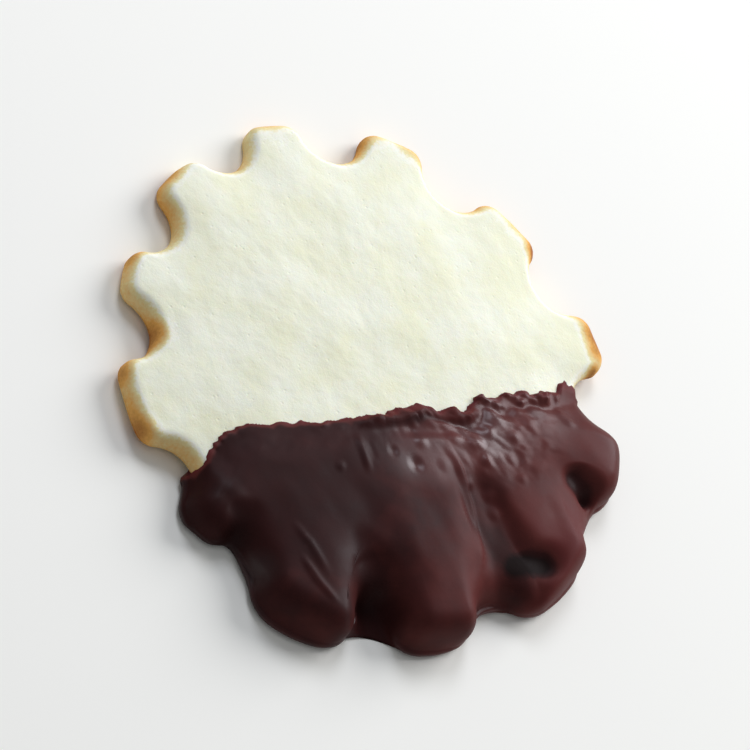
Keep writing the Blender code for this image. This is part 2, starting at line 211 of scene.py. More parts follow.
def profile(height, rounding, outer, faceRings):
    # rings from the middle of the top to the middle of the base, each an inset and a share of the height
    baseRounding = biscuit["baseRounding"]
    edge = outline["blankRadius"] + outer - max(outline["rimBand"], rounding)
    rings = [(outline["blankRadius"] - edge * ring / faceRings, 1.0) for ring in range(faceRings + 1)]
    for ring in range(1, biscuit["roundingRings"] + 1):
        angle = ring / biscuit["roundingRings"] * math.pi / 2.0
        rings.append((rounding * (1.0 - math.sin(angle)) - outer,
                      1.0 - rounding * (1.0 - math.cos(angle)) / height))
    for ring in range(1, biscuit["wallRings"] + 1):
        rings.append((-outer, mix(height - rounding, baseRounding, ring / biscuit["wallRings"]) / height))
    for ring in range(1, biscuit["baseRoundingRings"] + 1):
        angle = ring / biscuit["baseRoundingRings"] * math.pi / 2.0
        rings.append((baseRounding * (1.0 - math.cos(angle)) - outer,
                      baseRounding * (1.0 - math.sin(angle)) / height))
    edge = outline["blankRadius"] + outer - baseRounding
    for ring in range(1, biscuit["baseRings"] + 1):
        rings.append((outline["blankRadius"] - edge * (1.0 - ring / biscuit["baseRings"]), 0.0))
    return rings


def spunDisc(rings, lookNames):  # the rings turned round Z, each vertex knowing its ring and column
    spunHeight = 10.0        # keeps the rings apart until they are placed
    weldDistance = 1e-4
    bm = bmesh.new()
    ringLayer = bm.verts.layers.int.new("ring")
    columnLayer = bm.verts.layers.int.new("column")
    for name in lookNames:
        bm.verts.layers.float.new(name)
    line = []
    for number, (inset, share) in enumerate(rings):
        vert = bm.verts.new((outline["blankRadius"] - inset, 0.0, spunHeight * share))
        vert[ringLayer] = number
        line.append(vert)
    for first, second in zip(line, line[1:]):
        bm.edges.new((first, second))
    wedge = 2.0 * math.pi / fluteCount
    bmesh.ops.spin(bm, geom=bm.verts[:] + bm.edges[:], cent=(0, 0, 0), axis=(0, 0, 1), angle=wedge,
                   steps=cellSteps)
    bmesh.ops.spin(bm, geom=bm.verts[:] + bm.edges[:] + bm.faces[:], cent=(0, 0, 0), axis=(0, 0, 1),
                   angle=2.0 * math.pi - wedge, steps=fluteCount - 1, use_duplicate=True)
    bmesh.ops.remove_doubles(bm, verts=bm.verts, dist=weldDistance)
    for vert in bm.verts:
        angle = math.atan2(vert.co.y, vert.co.x) / (2.0 * math.pi) % 1.0
        vert[columnLayer] = round(angle * columns) % columns
    return bm, ringLayer, columnLayer, [bm.verts.layers.float[name] for name in lookNames]


def placeBaked(column, inset, share):
    flat = flutedPoint(column, inset)
    return Vector((flat.x, flat.y, share * faceHeight(flat.x, flat.y) + lift(flat.y)))


def loosen(bm, verts):  # spreads crowded and crossing columns on the face, which keeps its shape
    for _ in range(biscuit["loosening"]):
        bmesh.ops.smooth_vert(bm, verts=verts, factor=0.5, use_axis_x=True, use_axis_y=True)
    for vert in verts:
        vert.co.z = faceHeight(vert.co.x, vert.co.y) + lift(vert.co.y)


def bakedRelief(point, normal):  # how far the crumb stands out of the smooth form
    up = max(0.0, normal.z)
    side = 1.0 - abs(normal.z)
    share = 1.0 if normal.z > biscuit["baseNormal"] else biscuit["baseShare"]
    rise = waves(point, biscuit["broadWaves"]) * up
    rise += waves(point, biscuit["shortWaves"]) * up
    rise += waves(point, biscuit["edgeWander"]) * side
    rise += waves(point, biscuit["doughLumps"]) * share
    rise += waves(point, biscuit["crumb"]) * share
    return rise * smooth(point.z, 0.0, biscuit["reliefStart"])


def toObject(bm, name, material):
    bmesh.ops.translate(bm, verts=bm.verts, vec=shift)
    bmesh.ops.scale(bm, verts=bm.verts, vec=(mm, mm, mm))
    mesh = bpy.data.meshes.new(name)
    bm.to_mesh(mesh)
    bm.free()
    mesh.shade_smooth()
    piece = bpy.data.objects.new(name, mesh)
    bpy.context.scene.collection.objects.link(piece)
    mesh.materials.append(material)
    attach(piece, "root")
    return piece


browning = {
    # where the oven caught a lobe: degrees, radius, reach in mm, amount
    "spots": [
        (354.0, 37.8, 3.5, 0.72), (351.0, 36.9, 2.6, 0.45), (358.5, 37.9, 3.2, 0.58),
        (348.2, 36.2, 1.7, 1.0), (3.0, 38.2, 3.0, 0.40), (17.0, 37.3, 2.7, 0.75),
        (23.0, 37.9, 3.7, 0.35), (29.5, 37.7, 3.7, 0.20), (62.0, 36.6, 2.9, 0.25),
        (57.0, 37.5, 3.4, 0.35), (50.0, 37.7, 3.6, 0.55), (45.0, 37.5, 3.3, 0.55),
        (82.0, 37.0, 5.0, 0.22), (111.0, 37.4, 4.4, 0.30), (146.0, 36.0, 3.2, 0.45),
        (134.0, 36.0, 3.0, 0.30), (176.0, 36.6, 3.8, 0.55), (163.0, 36.8, 3.4, 0.45),
        (153.0, 30.5, 3.4, 0.35), (170.0, 37.4, 3.4, 0.40),
    ],
    "rim": 0.19,             # all round the edge, fading inwards
    "rimReach": 2.0,
    "wall": 0.46,
    "base": 0.34,
    "baseShares": (0.6, 1.5),    # of that in its middle and at its edge
    "baseBand": (12.0, 36.0),
    "evenShare": 0.8,        # the rest comes and goes in patches
    "patches": (0.5, 7.0, 3.3),
}


def brownAt(point, normal, inset):
    radius = math.hypot(point.x, point.y)
    amount = browning["rim"] * (1.0 - smooth(inset, 0.0, browning["rimReach"]))
    amount += browning["wall"] * (1.0 - normal.z ** 2)
    baseShare = mix(*browning["baseShares"], smooth(radius, *browning["baseBand"]))
    amount += browning["base"] * max(0.0, -normal.z) * baseShare
    for degrees, spotRadius, reach, strength in browning["spots"]:
        spot = polar(spotRadius, math.radians(degrees))
        amount += strength * bell((point.xy - spot).length, reach)
    return max(0.0, min(1.0, amount * (browning["evenShare"] + waves(point, browning["patches"]))))


def buildBiscuit(material):
    rings = profile(biscuit["rimHeight"], biscuit["topRounding"], 0.0, biscuit["faceRings"])
    bm, ringLayer, columnLayer, (brown,) = spunDisc(rings, ("browning",))
    for vert in bm.verts:
        vert.co = placeBaked(vert[columnLayer], *rings[vert[ringLayer]])
    loosen(bm, [vert for vert in bm.verts if rings[vert[ringLayer]][1] == 1.0])
    bm.normal_update()
    places = []
    for vert in bm.verts:
        vert[brown] = brownAt(vert.co, vert.normal, rings[vert[ringLayer]][0])
        places.append(vert.co + vert.normal * bakedRelief(vert.co, vert.normal))
    for vert, place in zip(bm.verts, places):
        vert.co = place
    piece = toObject(bm, "bakedBiscuit", material)
    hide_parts("shortbread")
    print(f"baked biscuit: {len(piece.data.polygons)} faces")


coat = {  # in mm; a pair is where something begins and where it is full
    "grow": 1.2,             # how far its skin stands off the biscuit
    "rounding": 2.9,
    "thinning": 0.3,         # towards a notch the skin thins by this share of the face's sink
    "faceRings": 96,
    "farSide": 4.0,          # nothing of the coat lies beyond this y
    "under": 0.16,           # past its edge the skin runs on this far inside the biscuit,
    "margin": 1.3,           # for this long

    # its edge on the face, seen from above: x and y
    "dipLine": [
        (-60.0, -12.0), (-38.0, -10.2), (-35.0, -8.0), (-32.5, -5.3), (-27.0, -1.5), (-23.0, -1.0),
        (-18.7, -2.2), (-10.3, -4.1), (-2.1, -5.2), (4.2, -5.4), (10.1, -8.1), (13.2, -6.6),
        (20.9, -7.6), (27.0, -8.8), (29.6, -7.3), (31.2, -9.4), (34.0, -13.0), (60.0, -16.0),
    ],
    "raggedBand": 4.0,       # the edge's unevenness is worked out this near to it
    "ragged": (0.42, 1.2, 6.1),
    "scallops": (0.50, 2.4, 2.9),
    "scallopShares": (0.6, 1.9),     # left and right
    "scallopTurn": (0.0, 8.0),       # the x between which they grow
    "lipShare": 0.34,        # share of the full wall that the lip has
    "lipBand": (-0.05, 0.34),
    "fullAt": 6.0,           # behind the line the wall is full here
    "reliefBand": (0.0, 0.5),

    # the foot that it set in, going round: degrees and distance from the middle
    "footLine": [
        (168.0, 36.0), (180.0, 36.0), (187.0, 36.9), (193.0, 38.8), (200.0, 36.4), (206.0, 34.6),
        (211.0, 36.6), (217.0, 39.5), (223.0, 40.8), (229.0, 39.9), (237.0, 38.5), (246.0, 37.7),
        (254.0, 37.7), (260.0, 37.2), (266.0, 35.4), (272.0, 34.0), (281.0, 35.2), (290.0, 37.0),
        (297.0, 37.5), (304.0, 36.6), (311.5, 35.8), (319.0, 37.2), (327.0, 38.2), (334.0, 36.4),
        (341.0, 34.6), (356.0, 37.0), (370.0, 37.0),
    ],
    "footCurve": 4.0,        # how sharply the sides turn out into it
    "edgeBand": 6.9,         # this far in from the edge they begin to
    "fills": {6: 0.10, 7: 0.55, 8: 0.10, 9: 0.15, 10: 0.85, 11: 0.20},   # share of a notch, by its number
    "fillHalfWidth": math.radians(15.0),
    "beadRise": 0.42,        # the foot's rolled edge
    "beadHeight": 0.85,
    "beadHalfWidth": 0.6,
    "beadGloss": 0.9,
    "beadGlossHalfWidth": 0.7,
    "beadFading": 2.0,       # how fast it ends towards a pit

    # the fingers that it set in as it drained: route, half width and rise
    "fingers": [
        ([(-27.0, -5.0), (-31.5, -6.6), (-37.5, -8.8)], 3.8, 0.6),
        ([(-20.0, -9.0), (-21.5, -15.0), (-23.8, -22.0), (-26.5, -29.5), (-28.5, -35.0)], 8.0, 1.0),
        ([(-2.0, -10.0), (-2.8, -16.0), (-5.2, -25.0), (-9.2, -36.0)], 9.0, 1.1),
        ([(14.5, -13.5), (15.4, -19.0), (14.6, -27.0), (15.2, -36.0)], 8.4, 0.90),
        ([(21.0, -11.5), (25.0, -16.5), (31.0, -22.0)], 8.0, 0.75),
    ],
    "plateau": 0.3,          # share of a finger's half width that is flat on top
    "fingerStart": (0.05, 0.8),      # shares of its route between which it rises

    # the pits between them: route, half width of the bottom and of the top, the share of the height
    # lost at the route's start and at its end, and how much painted shade darkens the chocolate there
    "pits": [
        ([(-15.1, -21.5), (-14.7, -25.0), (-14.9, -30.5), (-15.8, -35.0)], 0.8, 3.2, (0.05, 0.85), 0.24),
        ([(6.2, -15.0), (5.7, -22.0), (6.0, -27.5), (7.0, -32.0)], 0.6, 4.2, (0.02, 0.60), 0.38),
        ([(6.8, -29.4), (8.5, -29.8), (11.2, -30.6)], 0.5, 2.5, (0.74, 0.74), 0.95),
        ([(22.3, -20.8), (23.8, -23.1)], 0.5, 2.0, (0.72, 0.72), 0.45),
        ([(23.8, -23.3), (25.4, -27.5)], 0.4, 3.0, (0.20, 0.20), 0.38),
        ([(-29.5, -13.0), (-32.0, -16.0)], 0.4, 3.0, (0.16, 0.30), 0.38),
    ],
    "pitStart": (0.0, 0.6),  # shares of its route between which it deepens
    "cover": 0.3,            # the chocolate is at least this thick at the bottom of a pit
    "pitSide": (0.35, 1.4),  # past the baked edge a pit goes down to the floor
    "settling": 8,           # rounds of smoothing,
    "settledFrom": 1.0,      # this far behind the line and further

    # flow marks and ridges: route, reach to its left and right, and rise
    "strokes": [
        ([(-25.0, -19.5), (-24.4, -24.0), (-23.0, -28.0)], 0.7, 0.7, 0.28),
        ([(-23.7, -15.5), (-22.8, -19.0), (-22.6, -24.5)], 0.8, 0.8, 0.18),
        ([(-8.2, -7.0), (-8.7, -9.6), (-9.4, -13.0)], 0.9, 0.9, 0.20),
        ([(-7.0, -8.0), (-7.6, -11.5)], 0.8, 0.8, -0.08),
        ([(4.4, -11.0), (4.6, -15.5), (4.3, -20.0), (2.4, -26.2), (-2.1, -33.3)], 0.6, 1.4, 0.34),
        ([(6.6, -15.0), (7.0, -20.0), (5.6, -27.0)], 1.6, 1.6, -0.16),
        ([(17.8, -20.5), (17.2, -26.0), (16.0, -33.0)], 1.3, 2.4, 0.16),
        ([(-30.5, -6.5), (-29.0, -11.0), (-29.0, -17.0)], 1.8, 1.8, 0.12),
        ([(24.5, -10.8), (26.0, -14.5)], 1.1, 1.3, 0.18),
        ([(-4.0, -7.6), (1.5, -8.9), (6.0, -10.4), (9.0, -10.6)], 1.5, 1.7, -0.26),
        ([(-7.6, -5.8), (-4.0, -6.3), (1.0, -7.0), (6.0, -7.6)], 1.3, 1.2, 0.42),
        ([(6.6, -8.2), (9.0, -9.1), (13.0, -8.8)], 1.2, 1.2, 0.36),
    ],
    "strokeEnds": ((0.0, 0.3), (0.7, 1.0)),      # shares of its route where it rises and fades

    # bubbles, crumbs under the skin and dimples: x, y, reach and rise
    "bumps": [
        (7.6, -19.8, 1.2, 0.34), (7.2, -22.2, 1.3, 0.30), (8.9, -12.8, 1.7, 0.28),
        (6.0, -11.2, 1.5, 0.22), (-1.9, -13.3, 1.5, -0.24), (-4.2, -10.6, 1.1, -0.16),
        (-13.0, -10.6, 1.0, 0.14), (12.0, -11.8, 1.4, 0.22), (15.2, -13.6, 1.5, 0.24),
        (9.2, -15.6, 1.2, 0.26), (13.0, -16.4, 1.3, 0.20), (13.2, -19.2, 1.1, 0.18),
        (5.2, -17.6, 1.0, 0.22), (18.8, -12.2, 1.5, 0.20), (2.4, -14.6, 1.6, 0.12),
        (0.6, -10.6, 1.4, 0.14),
    ],

    # relief all over: its height, the mm from wave to wave, and its seed
    "broadWaves": (0.16, 7.5, 7.7),
    "dimples": (0.05, 3.2, 4.4),
    "flowRise": 0.030,       # streaks that run towards the foot,
    "flowSize": (2.4, 13.0, 3.0),    # this wide, long and high,
    "flowLean": 0.08,        # leaning by this
    "flowBand": (0.5, 4.0),
    "reliefStart": 0.9,      # how high over the floor the relief is full
    "pitCalm": 0.9,          # how much of it a pit loses

    # where crumbs show through the skin: x, y and reach, how much narrower it is along y, and the
    # share of the reach where they are full
    "crumbPatch": (13.0, -13.5, 12.0),
    "crumbPatchSquash": 1.4,
    "crumbPatchCore": 0.4,
    "crumbRise": 0.22,
    "crumbLumps": (1.0, 1.9, 3.9),
    "crumbGrain": (0.3, 0.9, 5.1),

    # the lip dried thicker than the skin just behind it, in lumps that are finer at its right end
    "lipRise": 0.85,
    "lipShares": (0.35, 1.0),        # left and right
    "lipTurn": (-10.0, -4.0),
    "lipPlace": (0.9, 1.3),  # how far behind the line it lies, and its half width
    "lipLeast": 0.20,
    "lipLumps": (2.5, 1.3),  # the mm from lump to lump, and their seed
    "lipFine": (1.2, 2.7),
    "lipFineShare": 0.7,
    "lipFineTurn": (6.0, 12.0),
    "lumpReach": (0.1, 0.6),         # of the spacing: where a lump's top ends, and its foot
    "lumpHeight": 0.5,
    "lumpMixing": 3.7,       # gives each lump a height of its own
    "hollowDepth": 0.16,     # the groove behind the lip
    "hollowPlace": (2.2, 1.2),
    "hollowTurn": (-4.0, 2.0),
}


def toSegment(point, start, end):  # distance to a straight stretch, its side and how far along it
    along = end - start
    share = max(0.0, min(1.0, (point - start).dot(along) / along.length_squared))
    offset = point - start - along * share
    return offset.length, along.x * offset.y - along.y * offset.x, share


dipPoints = [Vector(point) for point in coat["dipLine"]]


def behindLine(x, y):  # mm behind the smooth edge of the chocolate, negative on the bare side
    point = Vector((x, y))
    nearest = 1e9
    for start, end in zip(dipPoints, dipPoints[1:]):
        if start.x - nearest <= x <= end.x + nearest:
            nearest = min(nearest, toSegment(point, start, end)[0])
    for start, end in zip(dipPoints, dipPoints[1:]):
        if start.x <= x <= end.x:
            lineY = mix(start.y, end.y, (x - start.x) / (end.x - start.x))
            return nearest if y < lineY else -nearest


def chocolateDepth(point):  # the same, with the ragged edge
    depth = behindLine(point.x, point.y)
    if depth < coat["raggedBand"]:
        scallopShare = mix(*coat["scallopShares"], smooth(point.x, *coat["scallopTurn"]))
        depth += waves(point, coat["ragged"]) + waves(point, coat["scallops"]) * scallopShare
    return depth


def alongRoute(point, route):  # distance to a route, the side it is on and how far along it
    best = (1e9, 0.0, 0.0)
    for number, (start, end) in enumerate(zip(route, route[1:])):
        distance, side, share = toSegment(point, Vector(start), Vector(end))
        if distance < best[0]:
            best = (distance, side, (number + share) / (len(route) - 1))
    return best


def fingerCrown(point):
    crown = 0.0
    for route, halfWidth, rise in coat["fingers"]:
        distance, _, along = alongRoute(point, route)
        if distance < halfWidth:
            across = 1.0 - smooth(distance, coat["plateau"] * halfWidth, halfWidth)
            crown = max(crown, rise * across * smooth(along, *coat["fingerStart"]))
    return crown


def pitAt(point):  # the share of the height that is lost here, and how much painted shade darkens it
    lost = paintedShade = 0.0
    for route, bottom, top, shares, shadeAmount in coat["pits"]:
        distance, _, along = alongRoute(point, route)
        if distance < top:
            share = mix(*shares, smooth(along, *coat["pitStart"])) * (1.0 - smooth(distance, bottom, top))
            lost = max(lost, share)
            paintedShade = max(paintedShade, share * shadeAmount)
    return lost, paintedShade


def notchFill(spoke):
    return sum(share * bell(turnTo(spoke, flute(index)[0]), coat["fillHalfWidth"])
               for index, share in coat["fills"].items())


def footReach(spoke):  # a smooth curve through the foot's places
    turn = math.degrees(spoke) % 360.0
    places = coat["footLine"]
    for number in range(1, len(places) - 2):
        (start, first), (end, second) = places[number:number + 2]
        if start <= turn <= end:
            share = (turn - start) / (end - start)
            before, after = places[number - 1][1], places[number + 2][1]
            bend = 2.0 * before - 5.0 * first + 4.0 * second - after
            turned = 3.0 * (first - second) + after - before
            return first + 0.5 * share * (second - before + share * (bend + share * turned))
    return places[0][1]


fills = [notchFill(spoke) for _, _, spoke in rim]
feet = [footReach(spoke) for _, _, spoke in rim]

bakedEdge = kdtree.KDTree(columns)
for number, (point, _, _) in enumerate(rim):
    bakedEdge.insert(point.to_3d(), number)
bakedEdge.balance()


def pastEdge(point):  # how far outside the baked outline a place is, negative inside it
    nearest, number, distance = bakedEdge.find(point.to_3d())
    return math.copysign(distance, (point - nearest.xy).dot(rim[number][1]))


def placeCoat(column, inset, share):
    flat = flutedPoint(column, inset)
    edgeInset = max(0.0, inset + coat["grow"])
    nearEdge = 1.0 - smooth(edgeInset, 0.0, coat["edgeBand"])
    spread = max((1.0 - share) ** coat["footCurve"], fills[column]) * nearEdge
    flat = flat.lerp(polar(feet[column] - edgeInset, rim[column][2]), spread)
    baked = faceHeight(flat.x, flat.y) + lift(flat.y)
    top = baked + coat["grow"] + fingerCrown(flat) - coat["thinning"] * notchSink(flat.x, flat.y)
    lost, _ = pitAt(flat)
    if lost > 0.0:
        bottom = (baked + coat["cover"]) * (1.0 - smooth(pastEdge(flat), *coat["pitSide"]))
        top = max(bottom, top * (1.0 - lost))
    return Vector((flat.x, flat.y, share * top))


def strokeRise(point):
    rise = 0.0
    for route, left, right, height in coat["strokes"]:
        distance, side, along = alongRoute(point, route)
        start, end = coat["strokeEnds"]
        across = bell(distance, left if side > 0.0 else right)
        if across > 0.0:
            rise += height * across * smooth(along, *start) * (1.0 - smooth(along, *end))
    return rise


def lumps(point, size, seed):  # rounded lumps about this far apart, of uneven height
    distances, places = noise.voronoi(Vector((point.x / size, point.y / size, seed)))
    height = coat["lumpHeight"] + noise.noise(places[0] * coat["lumpMixing"])
    return max(0.0, height) * (1.0 - smooth(distances[0], *coat["lumpReach"]))


def crumbPatch(point):
    x, y, reach = coat["crumbPatch"]
    distance = math.hypot(point.x - x, (point.y - y) * coat["crumbPatchSquash"])
    return 1.0 - smooth(distance, coat["crumbPatchCore"] * reach, reach)


def beadShare(point, halfWidth):  # 1 on the rolled edge of the foot; the pits have none
    inPit = min(1.0, coat["beadFading"] * pitAt(point.xy)[0])
    return bell(point.z - coat["beadHeight"], halfWidth) * (1.0 - inPit)


def behindLip(depth, place):  # 1 this far behind the line, 0 from the half width on
    centre, halfWidth = place
    return bell(depth - centre, halfWidth)


def faceRelief(point, depth):  # what shows only on the face
    crumbs = max(0.0, waves(point, coat["crumbLumps"])) + waves(point, coat["crumbGrain"])
    rise = coat["crumbRise"] * crumbs * crumbPatch(point) + strokeRise(point.xy)
    rise += sum(height * bell(away(point, x, y), reach) for x, y, reach, height in coat["bumps"])
    fine = coat["lipFineShare"] * lumps(point, *coat["lipFine"]) * smooth(point.x, *coat["lipFineTurn"])
    lip = coat["lipRise"] * mix(*coat["lipShares"], smooth(point.x, *coat["lipTurn"]))
    lip *= coat["lipLeast"] + lumps(point, *coat["lipLumps"]) + fine
    hollow = coat["hollowDepth"] * smooth(point.x, *coat["hollowTurn"])
    return rise + lip * behindLip(depth, coat["lipPlace"]) - hollow * behindLip(depth, coat["hollowPlace"])


def coatRelief(point, normal, depth):
    width, length, height = coat["flowSize"]
    flow = Vector((point.x / width + coat["flowLean"] * point.y, point.y / length, point.z / height))
    rise = waves(point, coat["broadWaves"]) + waves(point, coat["dimples"])
    rise += coat["flowRise"] * noise.noise(flow) * smooth(depth, *coat["flowBand"])
    rise += faceRelief(point, depth) * max(0.0, normal.z)
    rise *= smooth(point.z, 0.0, coat["reliefStart"]) * (1.0 - coat["pitCalm"] * pitAt(point.xy)[0])
    return rise + coat["beadRise"] * beadShare(point, coat["beadHalfWidth"])


skinLook = {  # what the chocolate's colour, with its painted light and shade, and its gloss follow, in mm
    # how thick it looks, 0 a film, 0.5 an ordinary skin, 1 near black; lower values also stand for painted
    # light and higher ones for painted shade
    "full": 0.70,
    "fullBand": (0.0, 1.1),  # behind the line
    "paintedLightRight": 0.31,       # painted light: lighter and redder to the right, where the light falls,
    "rightBand": (-24.0, 24.0),
    "paintedLightLow": 0.15,         # painted light: lighter on the lower fingers, which face away from the light,
    "lowBand": (18.0, 30.0),
    "paintedSheenSpot": (3.0, -12.5, 9.0, 0.12),     # painted sheen round one place: x, y, reach and amount
    "groove": 0.12,          # painted shade, darker in the groove behind the lip
    "groovePlace": (2.1, 0.9),
    "grooveMiddle": 4.0,
    "grooveHalfLength": 12.0,
    "pitShadeBand": (2.0, 5.0),  # painted shade in the pits, this far behind the line
    # where it is glossy: x, y, reach and amount
    "glossy": [
        (11.0, -11.0, 9.5, 0.9), (-0.5, -12.0, 6.5, 0.9), (22.0, -11.0, 8.0, 0.35),
        (31.0, -18.0, 9.0, 0.15), (-30.0, -19.4, 3.5, 0.7),
    ],
    "glossBand": (1.2, 3.0),         # the lip is dull,
    "glossyLip": (11.0, 15.0),       # except at its right end
}


# the chocolate's tone: its real thickness, with painted light and painted shade laid over it
def skinToneAndPaintedLight(point, depth):
    x, y, reach, sheenAmount = skinLook["paintedSheenSpot"]
    skin = skinLook["full"] * smooth(depth, *skinLook["fullBand"])
    # painted light: lighter to the right and on the lower fingers
    skin -= skinLook["paintedLightRight"] * smooth(point.x, *skinLook["rightBand"])
    skin -= skinLook["paintedLightLow"] * smooth(-point.y, *skinLook["lowBand"])
    # painted sheen round one place
    skin -= sheenAmount * bell(away(point, x, y), reach)
    # painted shade in the groove behind the lip
    grooveShare = bell(point.x - skinLook["grooveMiddle"], skinLook["grooveHalfLength"])
    skin += skinLook["groove"] * behindLip(depth, skinLook["groovePlace"]) * grooveShare
    # painted shade in the pits
    return max(0.0, skin + pitAt(point.xy)[1] * smooth(depth, *skinLook["pitShadeBand"]))


def glossAt(point, depth):
    gloss = sum(amount * bell(away(point, x, y), reach) for x, y, reach, amount in skinLook["glossy"])
    gloss *= max(smooth(depth, *skinLook["glossBand"]), smooth(point.x, *skinLook["glossyLip"]))
    return min(1.0, gloss + coat["beadGloss"] * beadShare(point, coat["beadGlossHalfWidth"]))


def skinPlace(hidden, full, depth):  # the skin leaves the biscuit at the lip and is full further back
    lipStart, lipEnd = coat["lipBand"]
    wall = coat["lipShare"] * smooth(depth, lipStart, lipEnd)
    wall += (1.0 - coat["lipShare"]) * smooth(depth, lipEnd, coat["fullAt"])
    return hidden.lerp(full, wall)


def buildCoat(material):
    coatHeight = biscuit["rimHeight"] + coat["grow"]
    rings = profile(coatHeight, coat["rounding"], coat["grow"], coat["faceRings"])
    bakedRings = profile(biscuit["rimHeight"], biscuit["topRounding"], 0.0, coat["faceRings"])
    bm, ringLayer, columnLayer, (thickness, gloss) = spunDisc(rings, ("thickness", "gloss"))

    def place(vert):
        return vert[ringLayer], vert[columnLayer]

    farSide = [face for face in bm.faces if min(vert.co.y for vert in face.verts) > coat["farSide"]]
    bmesh.ops.delete(bm, geom=farSide, context="FACES")
    for vert in bm.verts:
        vert.co = placeBaked(vert[columnLayer], *bakedRings[vert[ringLayer]])
    bm.normal_update()
    depths = {}
    hidden = {}
    for vert in bm.verts:
        depths[place(vert)] = chocolateDepth(vert.co)
        hidden[place(vert)] = vert.co + vert.normal * (bakedRelief(vert.co, vert.normal) - coat["under"])
    bare = [face for face in bm.faces
            if max(depths[place(vert)] for vert in face.verts) < -coat["margin"]]
    bmesh.ops.delete(bm, geom=bare, context="FACES")

    inner = bm.verts[:]
    outer = bmesh.ops.extrude_face_region(bm, geom=bm.faces[:], use_keep_orig=True)["geom"]
    outer = [item for item in outer if isinstance(item, bmesh.types.BMVert)]
    for vert in inner:  # the shell's inner wall lies half as deep again
        ring, column = place(vert)
        baked = placeBaked(column, *bakedRings[ring])
        vert.co = hidden[place(vert)] - (baked - hidden[place(vert)]) * 0.5
    for vert in outer:
        ring, column = place(vert)
        depth = depths[place(vert)]
        vert.co = skinPlace(hidden[place(vert)], placeCoat(column, *rings[ring]), depth)
        # its tone: thickness with painted light and shade
        vert[thickness] = skinToneAndPaintedLight(vert.co, depth)
        vert[gloss] = glossAt(vert.co, depth)
    bmesh.ops.recalc_face_normals(bm, faces=bm.faces)
    settled = [vert for vert in outer if depths[place(vert)] > coat["settledFrom"]]
    for _ in range(coat["settling"]):  # liquid chocolate leaves no creases
        bmesh.ops.smooth_vert(bm, verts=settled, factor=0.5, use_axis_x=True, use_axis_y=True,
                              use_axis_z=True)

    bm.normal_update()
    moves = []
    for vert in outer:
        depth = depths[place(vert)]
        rise = coatRelief(vert.co, vert.normal, depth) * smooth(depth, *coat["reliefBand"])
        moves.append(vert.normal * rise)
    for vert, move in zip(outer, moves):
        vert.co += move
    piece = toObject(bm, "chocolateCoat", material)
    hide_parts("chocolate_coat")
    print(f"chocolate coat: {len(piece.data.polygons)} faces")


def linear(hexColour):
    channels = [int(hexColour[start:start + 2], 16) / 255.0 for start in (1, 3, 5)]
    return tuple(c / 12.92 if c <= 0.04045 else ((c + 0.055) / 1.055) ** 2.4 for c in channels) + (1.0,)


def patternScale(size):  # of a pattern whose marks are this many mm across
    return 1.0 / (size * mm)


def addNode(tree, kind, settings=None, values=None, links=None):
    node = tree.nodes.new(kind)
    for name, value in (settings or {}).items():
        setattr(node, name, value)
    for socket, value in (values or {}).items():
        node.inputs[socket].default_value = value
    for socket, source in (links or {}).items():
        tree.links.new(source, node.inputs[socket])
    return node


def newMaterial(name, values):
    material = bpy.data.materials.new(name)
    material.use_nodes = True
    tree = material.node_tree
    shader = tree.nodes["Principled BSDF"]
    for socket, value in values.items():
        shader.inputs[socket].default_value = value
    return material, tree, shader


def ramp(tree, source, stops):
    node = addNode(tree, "ShaderNodeValToRGB", links={"Fac": source})
    elements = node.color_ramp.elements
    while len(elements) < len(stops):
        elements.new(0.5)
    for element, (position, colour) in zip(elements, stops):
        element.position = position
        element.color = linear(colour)
    return node.outputs["Color"]


